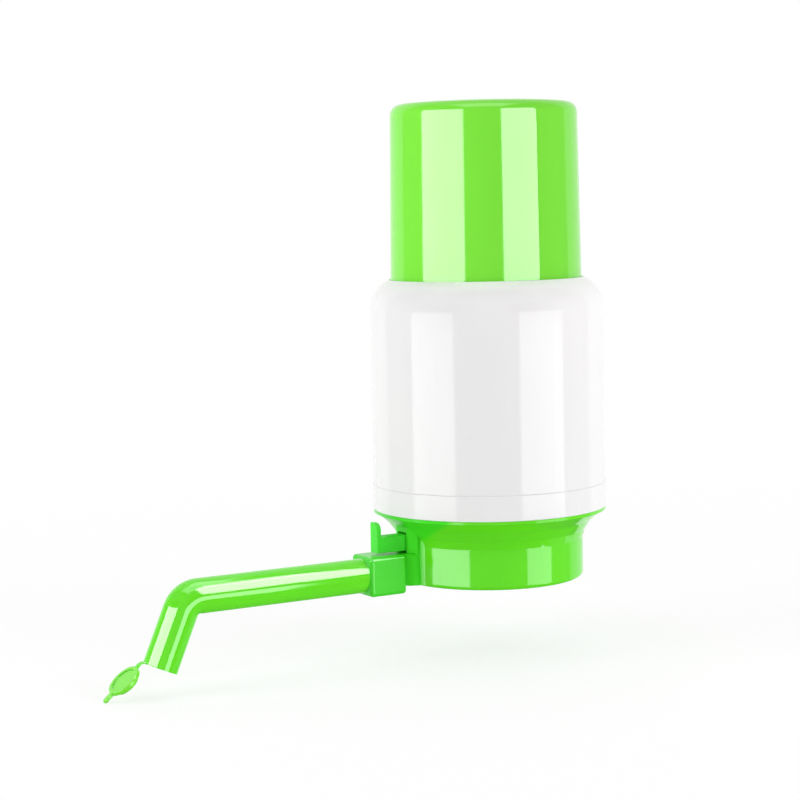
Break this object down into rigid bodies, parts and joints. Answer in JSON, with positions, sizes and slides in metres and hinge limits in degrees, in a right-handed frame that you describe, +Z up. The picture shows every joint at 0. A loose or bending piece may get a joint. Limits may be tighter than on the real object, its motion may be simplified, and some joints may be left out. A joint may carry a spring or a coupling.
{
  "type": "water jug hand pump",
  "caption": "Hand pump for a large water jug: a sprung press cap over a white shell, a green neck collar with a bent spout, a vent lever and a hinged dust cap.",
  "frame": {"origin": "centre of the neck collar's bottom rim, where the jug's neck enters", "axes": "+Z up the pump's axis towards the press cap, spout towards -Y, lever slot and dust cap in the plane X = 0"},
  "size_m": [0.0806, 0.1863, 0.1893],
  "materials": {
    "green_plastic": "high gloss moulding",
    "white_plastic": "high gloss moulding",
    "inner_plastic": "natural satin moulding",
    "silicone": "matt translucent white",
    "black_rubber": "matt",
    "zinc_steel": "bright zinc plated",
    "spring_steel": "drawn wire"
  },
  "bodies": {
    "base": {"base_collar": "green_plastic", "gallery_cover": "inner_plastic", "neck_gasket": "silicone", "deck_seal": "black_rubber", "lever_pin": "zinc_steel", "vent_spring": "spring_steel", "spout": "green_plastic", "spout_oring": "black_rubber", "cap_strap": "green_plastic", "pump_cylinder": "inner_plastic", "check_valve": "silicone", "cylinder_screws": "zinc_steel", "cylinder_head": "inner_plastic", "bump_stop": "black_rubber", "return_spring": "spring_steel", "outer_shell": "white_plastic"},
    "plunger": {"press_cap": "green_plastic", "piston_rod": "inner_plastic", "piston": "inner_plastic", "piston_seal": "black_rubber", "intake_flap": "silicone", "flap_washer": "zinc_steel", "piston_screw": "zinc_steel"},
    "lever": {"vent_lever": "green_plastic", "vent_pad": "silicone"},
    "dust_cap": {"dust_cap": "green_plastic"}
  },
  "joints": [
    {"name": "press_slide", "type": "slide", "parent": "base", "child": "plunger", "axis": [0, 0, -1], "range_m": [0, 0.045], "stiffness_N_per_m": 400, "springref_m": -0.02, "deforming": ["return_spring"]},
    {"name": "vent_lever_hinge", "type": "hinge", "parent": "base", "child": "lever", "pos_m": [0, -0.03405, 0.0153], "axis": [-1, 0, 0], "range_deg": [0, 12], "stiffness_Nm_per_rad": 0.03, "springref_deg": -11.46, "deforming": ["vent_spring"]},
    {"name": "dust_cap_hinge", "type": "hinge", "parent": "base", "child": "dust_cap", "pos_m": [0, -0.13316, -0.01464], "axis": [1, 0, 0], "range_deg": [-60, 116.5], "stiffness_Nm_per_rad": 0.0005, "deforming": ["cap_strap"]}
  ]
}
